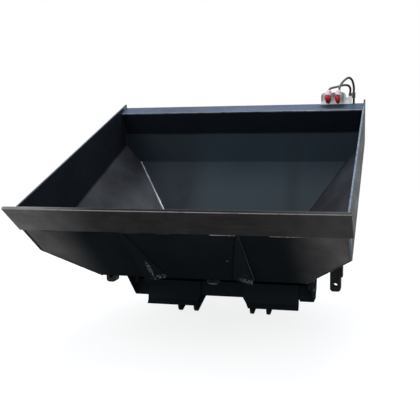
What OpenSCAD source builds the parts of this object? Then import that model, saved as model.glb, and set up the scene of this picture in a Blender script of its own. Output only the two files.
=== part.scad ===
// Bulk bag filling bucket: a wide loader bucket with a hopper bottom and a hydraulic slide gate.
// Millimetres. X runs to the right, Y to the back and Z up, as the machine holds the bucket level.
// Sizes are worked out from the middle of the cutting edge's top corner. The whole is then moved
// so that the origin is the middle of the lower hitch pin line.

/* [Shell] */
// Width over the two side plates
bucket_w = 1600; // [1500:10:1700]
// Depth from the cutting edge to the back of the rim
rim_depth = 1612; // [1590:1:1700]
// Height of the rim's back tip over the cutting edge
rim_rise = 538; // [532:1:580]
// Slope of the floor plate below level, in degrees
floor_angle = 36.7; // [35:0.1:38]
// Depth at which the side plates' lower front corners lie
side_corner_y = 338; // [310:1:370]
// Rim's back edge behind the back plate's front face
back_inset = 23; // [20:1:52]
// Height of the bend in the back plate
bend_z = 150; // [110:1:190]
// Height of the hopper plates at the back corners
hopper_back_z = 260; // [240:1:280]
// Depth of the hopper below the cutting edge
hopper_drop = 423; // [410:1:440]
// Width of the bottom plate past the outlet's back corner, on each side
outlet_margin = 27; // [20:1:60]
// Lean of the lower back plate from upright, in degrees
lower_back_angle = 30; // [28:0.5:32]
// Thickness of the side plates
side_t = 10; // [8:1:14]
// Thickness of the hopper and back plates
plate_t = 8; // [6:1:10]
// Thickness of the floor plate
floor_t = 10; // [8:1:12]
// Thickness of the bottom plate
bottom_t = 8; // [6:1:10]

/* [Cutting edge] */
// Width of the cutting edge bar
edge_w = 203; // [180:1:225]
// Thickness of the bar
edge_t = 20; // [16:1:25]
// Bar end past the side plate
edge_over = 14; // [8:1:18]
// Step from the bar's face back to the floor plate's face
edge_step = 4; // [2:1:6]
// Bevel along the bar's top edge
edge_bevel = 7; // [4:1:9]

/* [Top beam] */
// Depth of the beam, from its front nose to the rim's back edge
beam_depth = 105; // [87:1:122]
// Fall of the beam's top from its back corner to its nose
beam_fall = 44; // [36:1:54]
// Height of the beam's back top corner
beam_top_z = 516; // [510:1:526]
// Height of the beam, from its back top corner down to its underside
beam_h = 182; // [171:1:196]
// Wall of the beam
beam_wall = 8; // [6:1:10]

/* [Outlet and gate] */
// Width of the outlet
outlet_w = 640; // [600:5:650]
// Length of the outlet
outlet_l = 280; // [240:5:285]
// Outlet's front edge in front of the back plate's face
outlet_set = 739; // [719:1:747]
// Lap of the gate over the outlet's edges at the front and the back
gate_lap = 25; // [18:1:30]
// Lap of the gate over the outlet at each side
gate_side_lap = 20; // [12:1:24]
// Thickness of the gate
gate_t = 10; // [8:1:12]
// Gap between the bottom plate and the gate
gate_gap = 1; // [0.6:0.1:2]
// Gap between the gate's edge and the rail
gate_side_gap = 1; // [0.6:0.1:2]
// Gap between the gate and the rail's lower flange
slide_gap = 0.3; // [0.3:0.1:0.8]
// Thickness of the rails
rail_t = 12; // [10:1:14]
// Width of the rail's flanges
rail_flange = 42; // [32:1:48]

/* [Gate cylinder] */
// Outer radius of the barrel
barrel_r = 36; // [34:0.5:38]
// Radius of the barrel's bore
barrel_bore_r = 30; // [27:0.5:31]
// Radius of the rod
rod_r = 15; // [12:0.5:18]
// Radial running clearance of rod and piston
running_gap = 0.05; // [0.03:0.01:0.08]
// Outer radius of the two eyes
eye_r = 22; // [20:0.5:24]
// Width of the eyes
eye_w = 28; // [22:1:32]
// Radius of the two cylinder pins
cyl_pin_r = 12.5; // [10:0.5:14]
// Length of the piston
piston_l = 30; // [24:1:34]
// Depth of the gland inside the barrel
gland_l = 18; // [14:1:22]
// Thickness of the gland's flange
gland_flange = 12; // [8:1:16]
// Space above and below the barrel
barrel_gap = 16; // [12:1:20]
// Rear anchor pin in front of the ribs' back edge
anchor_set = 40; // [36:1:43]
// Thickness of the clevis plates
clevis_t = 10; // [8:1:12]

/* [Hitch] */
// Size of the square cross beams
beam_size = 90; // [80:1:96]
// Wall of the cross beams
tube_wall = 6; // [5:0.5:8]
// Length of the hitch, from the front cross beam's face to the ribs' back edge
hitch_l = 591; // [580:1:610]
// Ribs' back edge behind the rim
rib_step = 28; // [20:1:38]
// Thickness of the ribs
rib_t = 10; // [8:1:12]
// Gap from a face plate's side to the cheek's outer face
cheek_gap = 86; // [61:1:101]
// Thickness of the cheeks
cheek_t = 12; // [8:1:14]
// Cheek's lap below the front cross beam, and thickness of its shelf there
cheek_lap = 8; // [6:1:14]
// Inner ear's middle from the bucket's middle
ear_x = 173; // [160:1:185]
// Distance from ear middle to ear middle in a pair
ear_pitch = 99; // [90:1:105]
// Thickness of an ear
ear_t = 20; // [16:1:25]
// Radius of the pin bores in the ears
pin_bore_r = 17.5; // [14:0.5:20]
// Radius of the ears' tips
tip_r = 40; // [36:0.5:44]
// Lower pin line below the cross beams
pin_drop = 70; // [64:1:78]
// Lower pin line behind the front beam's front face
pin_set = 60; // [56:1:72]
// Rear pin line behind the lower pin line
pin_pitch = 361; // [330:1:380]
// Rear pin line above the lower pin line
pin_rise = 100; // [90:1:106]
// Width of a hitch face plate
face_w = 296; // [280:1:310]
// Height of a face plate
face_h = 146; // [130:1:150]
// Thickness of a face plate
face_t = 12; // [8:1:14]
// Height of the lip along a face plate's bottom
lip_h = 30; // [20:1:50]
// Reach of the lip to the front
lip_out = 20; // [8:1:26]
// Inner edge's step to the middle beside the beam
face_flare = 33; // [10:1:50]

/* [Bag hangers] */
// Size of the square hanger arms
arm_size = 60; // [50:1:70]
// Wall of the arms
arm_wall = 5; // [4:0.5:6]
// Arms' front face in front of the front cross beam
arm_set = 78; // [62:1:109]
// Bottom of the arms below the bottom plate
arm_below = 127; // [100:1:137]
// Radius of the bottom corners
arm_round = 18; // [12:1:22]
// Radius of the cross bore
arm_bore_r = 12; // [9:0.5:14]
// Cross bore above the arm's bottom
arm_bore_up = 36; // [28:1:40]
// Thickness of the gusset on the arm
gusset_t = 10; // [6:1:12]
// Gusset's end above the arm's bottom
gusset_up = 82; // [60:1:95]

/* [Coupler group] */
// First coupler's middle in from the bucket's side
coupler_inset = 226; // [200:1:240]
// Distance between the couplers
coupler_pitch = 61; // [58:1:70]
// Couplers' middle line in front of the rim's back edge
coupler_set = 56; // [52:1:60]
// Height of the couplers' ring over the beam's back corner
coupler_up = 50; // [46:1:56]
// Lean of the couplers to the right, in degrees
coupler_lean = 12; // [8:1:16]
// Radius of the coupler body
coupler_r = 15; // [13:0.5:16]
// Bracket plate's front face in front of the rim's back edge
bracket_set = 18; // [14:1:20]
// Thickness of the bracket plate
bracket_t = 5; // [4:0.5:6]
// Radius of the hoses
hose_r = 7.2; // [6:0.1:7.5]
// Travel of a dust cap as it is pulled off
cap_travel = 14; // [10:1:15]

/* [Hidden] */
$fn = 48;
paint = "#20272c";
worn = "#4c4a46";
zinc = "#d5dadb";

// Shared places, as [depth, height] or [x, depth, height]
side_in = bucket_w / 2 - side_t;
reach = 3 * bucket_w;
over = plate_t / 2;
bottom_z = -hopper_drop;
back_y = rim_depth - back_inset;
rib_back_y = rim_depth + rib_step;
front_beam_y = rib_back_y - hitch_l;
nose_y = rim_depth - beam_depth;
nose_z = beam_top_z - beam_fall;
beam_low_z = beam_top_z - beam_h;
outlet_y = back_y - outlet_set;
floor_in = [0, sin(floor_angle), cos(floor_angle)];
floor_down = [0, cos(floor_angle), -sin(floor_angle)];
function floor_y(z, off) = (off - z * floor_in.z) / floor_in.y;
function floor_z(y, off) = (off - y * floor_in.y) / floor_in.z;
floor_end_y = floor_y(bottom_z, edge_step);
side_corner = [bucket_w / 2, side_corner_y, floor_z(side_corner_y, 0)];
back_corner = [bucket_w / 2, back_y, hopper_back_z];
outlet_corner = [outlet_w / 2 + outlet_margin, outlet_y + outlet_l, bottom_z];
hopper_normal = unit(cross(back_corner - side_corner, outlet_corner - side_corner));
lower_back_in = [0, -cos(lower_back_angle), sin(lower_back_angle)];
bend = [0, back_y, bend_z];
foot_y = back_y - (bend_z - bottom_z) * tan(lower_back_angle);
foot_back_y = foot_y + plate_t / cos(lower_back_angle);
// Share of the bar's width at which the rim meets it
rim_front_share = 0.163;
rim_front_y = edge_w * rim_front_share;

// The gate and its rails
gate_w = outlet_w + 2 * gate_side_lap;
gate_l = outlet_l + 2 * gate_lap;
gate_y = outlet_y - gate_lap;
gate_top = bottom_z - gate_gap;
gate_low = gate_top - gate_t;
stroke = outlet_l + gate_lap;
rail_in = gate_w / 2 + gate_side_gap;
rail_out = rail_in + rail_t;
rail_low = gate_low - slide_gap - rail_t;
rail_front = gate_y - gate_lap;

// The gate cylinder, along Y
eye_gap = 1;
cyl_z = gate_low - barrel_gap - barrel_r;
lug_y = gate_y + eye_r;
gland_y = lug_y + stroke + eye_r + barrel_gap / 2;
tube_y = gland_y + gland_flange;
anchor_y = rib_back_y - anchor_set;
cap_y = anchor_y - eye_r - gland_flange;
piston_y = tube_y + gland_l + eye_gap;

// The hitch
tubes_top = cyl_z - barrel_r - barrel_gap;
tubes_low = tubes_top - beam_size;
front_beam_back = front_beam_y + beam_size;
rear_beam_y = rib_back_y - beam_size;
pin_y = front_beam_y + pin_set;
pin_z = tubes_low - pin_drop;
upper_pin = [pin_y + pin_pitch, pin_z + pin_rise];
rib_out = rail_out + rib_t;
face_x = ear_x - ear_t / 2;
cheek_x = face_x + face_w + cheek_gap;

// The hanger arms
arm_x = (cheek_x + bucket_w / 2) / 2;
arm_y = front_beam_y - arm_set;
arm_low = bottom_z - arm_below;
arm_bore_z = arm_low + arm_bore_up;

// Small hardware
bolt_r = 12;
bolt_head_r = 24;
bolt_head_h = 14;
washer_r = 28;
washer_t = 4;
small_bolt_r = 5;
small_head_r = 9.5;
small_head_h = 7;
clip_r = 3;
pin_over = 8;

function unit(v) = v / norm(v);

// Lays a plane's own axes over the room: x along u, z along n
module on_plane(p, u, n) {
  v = cross(n, u);
  multmatrix([
    [u.x, v.x, n.x, p.x],
    [u.y, v.y, n.y, p.y],
    [u.z, v.z, n.z, p.z],
    [0, 0, 0, 1]
  ]) children();
}

function along(n) = unit(cross([0, 1, 0], n));

// A wide slab that lies on the plane through p with normal n, from one offset to the next
module slab(p, n, from, to, u) {
  on_plane(p, u, n)
    translate([-reach, -reach, from]) cube([2 * reach, 2 * reach, to - from]);
}

module floor_slab(from, to) slab([0, 0, 0], floor_in, from, to, [1, 0, 0]);
module lower_back_slab(from, to) slab(bend, lower_back_in, from, to, [1, 0, 0]);
module hopper_slab(from, to) slab(outlet_corner, hopper_normal, from, to, along(hopper_normal));

// Everything over both hopper planes, measured from their outer faces
module over_hoppers(off) {
  intersection() {
    hopper_slab(off, reach);
    mirror([1, 0, 0]) hopper_slab(off, reach);
  }
}

module room_block(x0, x1, y0, y1, z0, z1) {
  translate([x0, y0, z0]) cube([x1 - x0, y1 - y0, z1 - z0]);
}

module upright(x0, x1) {
  translate([x0, 0, 0]) rotate([90, 0, 90]) linear_extrude(x1 - x0) children();
}

module sided(side) {
  if (side > 0) children();
  else mirror([1, 0, 0]) children();
}

module placed() {
  translate([0, -pin_y, -pin_z]) children();
}

// A round bar along X, from x0 to x1
module bar_x(y, z, r, x0, x1) {
  translate([x0, y, z]) rotate([0, 90, 0]) cylinder(r = r, h = x1 - x0);
}

module bar_y(x, z, r, y0, y1) {
  translate([x, y0, z]) rotate([-90, 0, 0]) cylinder(r = r, h = y1 - y0);
}

// The bar's section: x runs down the floor's slope and y into the bucket. As a cutter it stands out
module edge_bar(out) {
  half = bucket_w / 2 + edge_over;
  on_plane([-half, 0, 0], floor_down, [1, 0, 0])
    linear_extrude(2 * half)
      polygon([
        [0, -out], [edge_w, -out], [edge_w, edge_t], [edge_bevel, edge_t],
        [0, edge_t - edge_bevel]
      ]);
}

module cutting_edge() {
  placed() color(worn) edge_bar(0);
}

module side_plate(side) {
  front = [rim_front_y, floor_z(rim_front_y, 0)];
  placed() color(paint) sided(side)
    difference() {
      intersection() {
        upright(side_in, bucket_w / 2)
          polygon([front, [rim_depth, rim_rise], [rim_depth, bottom_z], [rim_front_y, bottom_z]]);
        floor_slab(0, reach);
        hopper_slab(0, reach);
      }
      edge_bar(over);
    }
}

module side_plate_left() side_plate(-1);
module side_plate_right() side_plate(1);

module floor_plate() {
  placed() color(worn)
    intersection() {
      floor_slab(edge_step, edge_step + floor_t);
      slab(floor_down * edge_w, floor_down, 0, reach, [1, 0, 0]);
      room_block(-side_in, side_in, 0, rim_depth, bottom_z, rim_rise);
      over_hoppers(0);
    }
}

module bottom_plate() {
  placed() color(paint)
    difference() {
      intersection() {
        room_block(-side_in, side_in, 0, rim_depth, bottom_z, bottom_z + bottom_t);
        floor_slab(edge_step + floor_t, reach);
        lower_back_slab(0, reach);
        over_hoppers(0);
      }
      room_block(-outlet_w / 2, outlet_w / 2, outlet_y, outlet_y + outlet_l,
        bottom_z - over, bottom_z + bottom_t + over);
    }
}

module back_plate() {
  placed() color(paint)
    intersection() {
      union() {
        room_block(-side_in, side_in, back_y, back_y + plate_t, bend_z, beam_low_z);
        intersection() {
          lower_back_slab(-plate_t, 0);
          room_block(-side_in, side_in, 0, rim_depth, bottom_z, bend_z);
        }
      }
      over_hoppers(0);
    }
}

module hopper_plate(side) {
  placed() color(paint) sided(side)
    intersection() {
      hopper_slab(0, plate_t);
      room_block(0, side_in, 0, back_y, bottom_z + bottom_t, rim_rise);
      floor_slab(edge_step + floor_t, reach);
      lower_back_slab(0, reach);
    }
}

module hopper_plate_left() hopper_plate(-1);
module hopper_plate_right() hopper_plate(1);

// Folded box along the back rim: a sloping top, a dark face that undercuts, and a level base
module top_beam() {
  slope = [rim_depth - nose_y, beam_top_z - nose_z];
  face = [back_y - nose_y, beam_low_z - nose_z];
  top_in = beam_wall * [slope.y, -slope.x] / norm(slope);
  face_in = beam_wall * [-face.y, face.x] / norm(face);
  low_y = back_y + face_in.x + (beam_wall - face_in.y) * face.x / face.y;
  nose_in = [nose_y, nose_z] + corner(top_in, face_in);
  rear_y = rim_depth - beam_wall;
  placed() color(paint)
    difference() {
      upright(-side_in, side_in)
        difference() {
          polygon([
            [nose_y, nose_z], [back_y, beam_low_z], [rim_depth, beam_low_z],
            [rim_depth, beam_top_z]
          ]);
          polygon([
            nose_in, [low_y, beam_low_z + beam_wall], [rear_y, beam_low_z + beam_wall],
            [rear_y, beam_top_z + top_in.y + (rear_y - rim_depth - top_in.x) * slope.y / slope.x]
          ]);
        }
      for (x = bracket_bolt_x)
        bar_y(x, bracket_bolt_z, small_bolt_r + running_gap, rear_y - over, rim_depth + over);
    }
}

// Where two edges meet that are both moved inward, for the fold's inner corner
function corner(a, b) =
  let (d = a.x * b.y - a.y * b.x)
  [a * a * b.y - b * b * a.y, b * b * a.x - a * a * b.x] / d;

// A tapered box on the floor plate's face, deepest where it meets the hitch
stiffener_x = 290;
stiffener_foot_w = 117;
stiffener_top_w = 14;
stiffener_foot_depth = 36;
stiffener_top_depth = 8;
stiffener_end_gap = 12;
// The wedge is drawn on the minus x side, so sided() takes the other sign
module front_stiffener(side) {
  length = norm([floor_end_y, bottom_z]) - edge_w - stiffener_end_gap;
  placed() color(paint) sided(-side)
    on_plane(floor_down * edge_w + floor_in * edge_step, floor_down, -floor_in)
      polyhedron(
        points = [
          [0, -stiffener_x, 0], [0, -stiffener_x + stiffener_top_w, 0],
          [length, -stiffener_x + stiffener_foot_w, 0], [length, -stiffener_x, 0],
          [0, -stiffener_x, stiffener_top_depth],
          [length, -stiffener_x, stiffener_foot_depth]
        ],
        faces = [[0, 1, 2, 3], [0, 4, 1], [3, 2, 5], [1, 4, 5, 2], [0, 3, 5, 4]]
      );
}

module front_stiffener_left() front_stiffener(-1);
module front_stiffener_right() front_stiffener(1);

// Upright web behind the lower back plate, from the top beam down to the rear cross beam
rib_chamfer = 34;
rib_hole_r = 60;
module rear_rib(side) {
  back = back_y + plate_t;
  web_y = foot_back_y + over;
  placed() color(paint) sided(side)
    difference() {
      upright(rail_out, rib_out)
        polygon([
          [back, beam_low_z], [rim_depth, beam_low_z], [rib_back_y, beam_low_z - rib_chamfer],
          [rib_back_y, tubes_low], [rear_beam_y, tubes_low], [rear_beam_y - rib_chamfer, tubes_top],
          [web_y, rail_low], [web_y, bottom_z], [back, bend_z]
        ]);
      lower_back_slab(-plate_t, reach);
      bar_x(rear_beam_y - rib_hole_r, (bottom_z + bend_z) / 2, rib_hole_r,
        rail_out - over, rib_out + over);
    }
}

module rear_rib_left() rear_rib(-1);
module rear_rib_right() rear_rib(1);

// C-shaped guide: it hangs below the bottom plate and goes on behind it with a top flange
module rail(side) {
  top_y = foot_back_y + plate_t;
  flange_in = rail_out - rail_flange;
  placed() color(paint) sided(side) {
    room_block(rail_in, rail_out, rail_front, rib_back_y, rail_low, bottom_z);
    room_block(flange_in, rail_in, rail_front, rib_back_y, rail_low, rail_low + rail_t);
    room_block(flange_in, rail_out, top_y, rib_back_y, bottom_z, bottom_z + bottom_t);
  }
}

module rail_left() rail(-1);
module rail_right() rail(1);

module slide_gate() {
  placed() color(worn)
    room_block(-gate_w / 2, gate_w / 2, gate_y, gate_y + gate_l, gate_low, gate_top);
}

// Two plates with a pin through them, standing on a flat face at level base
module clevis(y, base) {
  gap = eye_w / 2 + eye_gap;
  for (x0 = [-gap - clevis_t, gap])
    difference() {
      union() {
        bar_x(y, cyl_z, eye_r, x0, x0 + clevis_t);
        room_block(x0, x0 + clevis_t, y - eye_r, y + eye_r, min(base, cyl_z), max(base, cyl_z));
      }
      bar_x(y, cyl_z, cyl_pin_r + running_gap, x0 - over, x0 + clevis_t + over);
    }
}

module gate_lug() {
  placed() color(paint) clevis(lug_y, gate_low);
}

module anchor_bracket() {
  placed() color(paint) clevis(anchor_y, tubes_top);
}

pin_half = eye_w / 2 + eye_gap + clevis_t + pin_over;
module clevis_pin(y) {
  difference() {
    bar_x(y, cyl_z, cyl_pin_r, -pin_half, pin_half);
    for (x = clip_places)
      translate([x, y, cyl_z - reach / 2])
        cylinder(r = clip_r + running_gap, h = reach);
  }
}
clip_places = [-pin_half + pin_over / 2, pin_half - pin_over / 2];

module rod_pin() {
  placed() color(zinc) clevis_pin(lug_y);
}

module anchor_pin() {
  placed() color(zinc) clevis_pin(anchor_y);
}

// The straight clips that keep a pin in its clevis
module pin_clips(y) {
  placed() color(zinc)
    for (x = clip_places)
      translate([x, y, cyl_z - cyl_pin_r - pin_over])
        cylinder(r = clip_r, h = 2 * (cyl_pin_r + pin_over));
}

module anchor_pin_clips() pin_clips(anchor_y);
module rod_pin_clips() pin_clips(lug_y);

module cylinder_rod() {
  placed() color(zinc)
    difference() {
      union() {
        bar_x(lug_y, cyl_z, eye_r, -eye_w / 2, eye_w / 2);
        bar_y(0, cyl_z, rod_r, lug_y + cyl_pin_r + clip_r, piston_y + over);
        bar_y(0, cyl_z, barrel_bore_r - running_gap, piston_y, piston_y + piston_l);
      }
      bar_x(lug_y, cyl_z, cyl_pin_r + running_gap, -eye_w / 2 - over, eye_w / 2 + over);
    }
}

// Barrel with its closed end, its eye and the two oil ports on its right side
port_r = 12;
port_out = 12;
port_bore_r = 6;
front_port_y = tube_y + gland_l;
rear_port_y = cap_y - gland_flange;
port_face = barrel_r + port_out;
module cylinder_barrel() {
  placed() color(paint)
    difference() {
      union() {
        bar_y(0, cyl_z, barrel_r, tube_y, cap_y + gland_flange);
        room_block(-eye_w / 2, eye_w / 2, cap_y, anchor_y, cyl_z - eye_r, cyl_z + eye_r);
        bar_x(anchor_y, cyl_z, eye_r, -eye_w / 2, eye_w / 2);
        for (y = [front_port_y, rear_port_y])
          bar_x(y, cyl_z, port_r, barrel_bore_r + over / 2, port_face);
      }
      bar_y(0, cyl_z, barrel_bore_r, tube_y - over, cap_y);
      bar_x(anchor_y, cyl_z, cyl_pin_r + running_gap, -eye_w / 2 - over, eye_w / 2 + over);
      for (y = [front_port_y, rear_port_y])
        bar_x(y, cyl_z, port_bore_r + running_gap, barrel_bore_r + over, port_face + over);
    }
}

module cylinder_gland() {
  placed() color(zinc)
    difference() {
      union() {
        bar_y(0, cyl_z, barrel_r, gland_y, tube_y);
        bar_y(0, cyl_z, barrel_bore_r - running_gap, gland_y + over, tube_y + gland_l);
      }
      bar_y(0, cyl_z, rod_r + running_gap, gland_y - over, tube_y + gland_l + over);
    }
}

// Square tube along X, open at its ends
module square_tube(half, y) {
  difference() {
    room_block(-half, half, y, y + beam_size, tubes_low, tubes_top);
    room_block(-half - over, half + over, y + tube_wall, y + beam_size - tube_wall,
      tubes_low + tube_wall, tubes_top - tube_wall);
  }
}

module front_beam() {
  placed() color(paint) square_tube(cheek_x - cheek_t, front_beam_y);
}

module rear_beam() {
  placed() color(paint) square_tube(rail_out, rear_beam_y);
}

// Plate that carries the front cross beam from the hopper's underside
cheek_low = tubes_low - cheek_lap;
cheek_run = 250;
shelf_gap = 4;
cheek_back = 20;
cheek_bolt_y = front_beam_y - bolt_head_r - washer_t;
cheek_bolt_z = tubes_top + washer_t;
module cheek(side) {
  placed() color(paint) sided(side) {
    difference() {
      upright(cheek_x - cheek_t, cheek_x)
        polygon([
          [front_beam_y, cheek_low], [front_beam_back + cheek_back, cheek_low],
          [front_beam_back + cheek_run, tubes_top + cheek_run],
          [front_beam_back + cheek_run, rim_rise],
          [front_beam_y - cheek_run, rim_rise],
          [front_beam_y - cheek_run, cheek_low + cheek_run]
        ]);
      hopper_slab(0, reach);
      bar_x(cheek_bolt_y, cheek_bolt_z, bolt_r + running_gap, cheek_x - cheek_t - over,
        cheek_x + over);
    }
    room_block(face_x + face_w + shelf_gap, cheek_x - cheek_t, front_beam_y, front_beam_back,
      cheek_low, tubes_low);
  }
}

module cheek_left() cheek(-1);
module cheek_right() cheek(1);

module hex(r, h) {
  cylinder(r = r, h = h, $fn = 6);
}

// Bolt with washers and a nut through each cheek
module cheek_bolts() {
  placed() color(zinc)
    for (side = [-1, 1]) sided(side) translate([0, cheek_bolt_y, cheek_bolt_z]) {
      rotate([0, 90, 0]) {
        translate([0, 0, cheek_x]) cylinder(r = washer_r, h = washer_t);
        translate([0, 0, cheek_x + washer_t]) hex(bolt_head_r, bolt_head_h);
        translate([0, 0, cheek_x - cheek_t - bolt_head_h])
          cylinder(r = bolt_r, h = cheek_t + bolt_head_h + washer_t);
        translate([0, 0, cheek_x - cheek_t - bolt_head_h]) hex(bolt_head_r, bolt_head_h);
      }
    }
}

// Plate on the front cross beam's face, with a lip bent forward along its bottom
module face_plate(side) {
  low = tubes_top - face_h;
  bend_y = [front_beam_y - face_t, front_beam_y];
  lip_y = [bend_y[0] - lip_out, bend_y[1] - lip_out];
  placed() color(paint) sided(side)
    difference() {
      upright(face_x - face_flare, face_x + face_w)
        polygon([
          [bend_y[0], tubes_top], [bend_y[0], low + lip_h], [lip_y[0], low], [lip_y[1], low],
          [bend_y[1], low + lip_h], [bend_y[1], tubes_top]
        ]);
      translate([0, front_beam_y + over, 0]) rotate([90, 0, 0])
        linear_extrude(face_t + lip_out + 2 * over)
          polygon([
            [face_x - face_flare, tubes_low], [face_x, low], [face_x, low - over],
            [face_x - face_flare - over, low - over], [face_x - face_flare - over, tubes_low]
          ]);
    }
}

module face_plate_left() face_plate(-1);
module face_plate_right() face_plate(1);

// The lower one of the two lines that touch both circles, from the first to the second
function lower_tangent(p, r, q, s) =
  let (d = q - p, a = atan2(d.y, d.x) - acos((r - s) / norm(d)), n = [cos(a), sin(a)])
  [p + r * n, q + s * n];

// Ear plate: two pin bores, let in between the cross beams and welded under the front one
module ear(x) {
  low = [pin_y, pin_z];
  line = lower_tangent(low, tip_r, upper_pin, tip_r);
  placed() color(paint)
    difference() {
      upright(x - ear_t / 2, x + ear_t / 2) {
        translate(low) circle(r = tip_r);
        translate(upper_pin) circle(r = tip_r);
        polygon([
          [pin_y - tip_r, tubes_low], [pin_y - tip_r, pin_z], low, line[0], line[1],
          upper_pin, [rear_beam_y, upper_pin.y], [rear_beam_y, tubes_top],
          [front_beam_back, tubes_top], [front_beam_back, tubes_low]
        ]);
      }
      bar_x(low.x, low.y, pin_bore_r, x - ear_t, x + ear_t);
      bar_x(upper_pin.x, upper_pin.y, pin_bore_r, x - ear_t, x + ear_t);
    }
}

module ear_left_outer() ear(-ear_x - ear_pitch);
module ear_left_inner() ear(-ear_x);
module ear_right_inner() ear(ear_x);
module ear_right_outer() ear(ear_x + ear_pitch);

// Square arm with a closed round end and a bore across it for the bag loops' pin
module hanger_arm(side) {
  half = arm_size / 2;
  placed() color(paint) sided(side)
    difference() {
      translate([arm_x, arm_y + arm_size, 0]) rotate([90, 0, 0]) linear_extrude(arm_size) {
        translate([-half, arm_low + arm_round]) square([arm_size, rim_rise - arm_low]);
        translate([arm_round - half, arm_low]) square([arm_size - 2 * arm_round, arm_round]);
        for (x = [arm_round - half, half - arm_round])
          translate([x, arm_low + arm_round]) circle(r = arm_round);
      }
      room_block(arm_x - half + arm_wall, arm_x + half - arm_wall, arm_y + arm_wall,
        arm_y + arm_size - arm_wall, arm_low + arm_wall + arm_round / 2, reach);
      hopper_slab(0, reach);
      bar_y(arm_x, arm_bore_z, arm_bore_r, arm_y - over, arm_y + arm_size + over);
    }
}

module hanger_arm_left() hanger_arm(-1);
module hanger_arm_right() hanger_arm(1);

gusset_run = 90;
module hanger_gusset(side) {
  x0 = arm_x + arm_size / 2;
  top = arm_low + gusset_up;
  placed() color(paint) sided(side)
    difference() {
      upright(x0, x0 + gusset_t)
        polygon([
          [arm_y, top], [arm_y + arm_size, top], [arm_y + arm_size, top + gusset_run],
          [arm_y + arm_size + gusset_run, rim_rise], [arm_y, rim_rise]
        ]);
      hopper_slab(0, reach);
    }
}

module hanger_gusset_left() hanger_gusset(-1);
module hanger_gusset_right() hanger_gusset(1);

// Zinc holder for the parked couplers: an upright plate with a notch, folded over the beam's back
coupler_x = bucket_w / 2 - coupler_inset;
coupler_y = rim_depth - coupler_set;
coupler_z = beam_top_z + coupler_up;
bracket_y = rim_depth - bracket_set;
lobe_l = 48;
bracket_x0 = coupler_x - lobe_l;
bracket_l = 191;
spare_l = 36;
bracket_h = 68;
lobe_drop = 24;
notch_w = 18;
bracket_fold_l = bracket_l - spare_l;
bracket_bolt_in = 34;
bracket_bolt_x = [bracket_x0 + bracket_bolt_in, bracket_x0 + bracket_fold_l - bracket_bolt_in];
bracket_tail = 70;
bracket_bolt_z = beam_top_z - bracket_tail + small_bolt_r + small_head_r + small_head_r;
ring_h = 12;
ring_wall = 5;
ring_stub_w = 16;
function beam_skin(y) = nose_z + (y - nose_y) * (beam_top_z - nose_z) / (rim_depth - nose_y);
module coupler_bracket() {
  plate_back = bracket_y + bracket_t;
  base = beam_skin(plate_back);
  top = beam_top_z + bracket_h;
  placed() color(zinc) {
    difference() {
      union() {
        translate([bracket_x0, plate_back, 0]) rotate([90, 0, 0]) linear_extrude(bracket_t)
          bracket_outline(bracket_fold_l, base, top);
        upright(bracket_x0, bracket_x0 + bracket_fold_l)
          polygon([
            [bracket_y, base], [plate_back, base], [rim_depth, beam_top_z],
            [rim_depth, beam_top_z - bracket_tail],
            [rim_depth + bracket_t, beam_top_z - bracket_tail],
            [rim_depth + bracket_t, beam_top_z + bracket_t],
            [plate_back, base + bracket_t], [bracket_y, base + bracket_t]
          ]);
      }
      for (x = bracket_bolt_x)
        bar_y(x, bracket_bolt_z, small_bolt_r + running_gap, rim_depth - over,
          rim_depth + bracket_t + over);
    }
    for (i = [0, 1]) coupler_ring(i);
  }
}

module bracket_outline(wide, base, top) {
  low = top - lobe_drop;
  difference() {
    union() {
      translate([0, base]) square([bracket_l, low - base]);
      translate([lobe_drop, low]) square([wide - 2 * lobe_drop, lobe_drop]);
      for (x = [lobe_drop, wide - lobe_drop]) translate([x, low]) circle(r = lobe_drop);
    }
    translate([wide + notch_w / 2, low]) circle(r = notch_w / 2);
  }
}

// Moves to a coupler's ring, with Z along the coupler
module at_coupler(i) {
  translate([coupler_x + i * coupler_pitch, coupler_y, coupler_z])
    rotate([0, coupler_lean, 0]) children();
}

module coupler_ring(i) {
  outer = coupler_r + ring_wall;
  difference() {
    at_coupler(i) union() {
      cylinder(r = outer, h = ring_h);
      translate([-ring_stub_w / 2, coupler_r + ring_wall / 2, 0])
        cube([ring_stub_w, rim_depth - coupler_y, ring_h]);
    }
    at_coupler(i) translate([0, 0, -over])
      cylinder(r = coupler_r + running_gap, h = ring_h + 2 * over);
    room_block(0, bucket_w, bracket_y, reach, bottom_z, reach);
  }
}

// Bolts with weld nuts inside the beam
module bracket_bolts() {
  inner = rim_depth - beam_wall;
  placed() color(zinc)
    for (x = bracket_bolt_x) translate([x, 0, bracket_bolt_z]) rotate([-90, 0, 0]) {
      translate([0, 0, rim_depth + bracket_t]) hex(small_head_r, small_head_h);
      translate([0, 0, inner - small_head_h])
        cylinder(r = small_bolt_r, h = rim_depth + bracket_t - inner + small_head_h);
      translate([0, 0, inner - small_head_h]) hex(small_head_r, small_head_h);
    }
}

// Parked coupler: collar on the ring, hexagon, and a probe that goes into the dust cap
collar_h = 6;
hex_h = 10;
probe_l = 14;
probe_r = 9;
tail_l = 4;
coupler_top = ring_h + collar_h + hex_h + tail_l;
module coupler(i) {
  placed() color(zinc) at_coupler(i) {
    translate([0, 0, ring_h]) cylinder(r = coupler_r + ring_wall / 2, h = collar_h);
    translate([0, 0, ring_h + collar_h]) hex(coupler_r, hex_h);
    translate([0, 0, ring_h + collar_h + hex_h]) cylinder(r = hose_r + running_gap, h = tail_l);
    cylinder(r = coupler_r, h = ring_h);
    translate([0, 0, -probe_l]) cylinder(r = probe_r, h = probe_l);
  }
}

module coupler_left() coupler(0);
module coupler_right() coupler(1);

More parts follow.
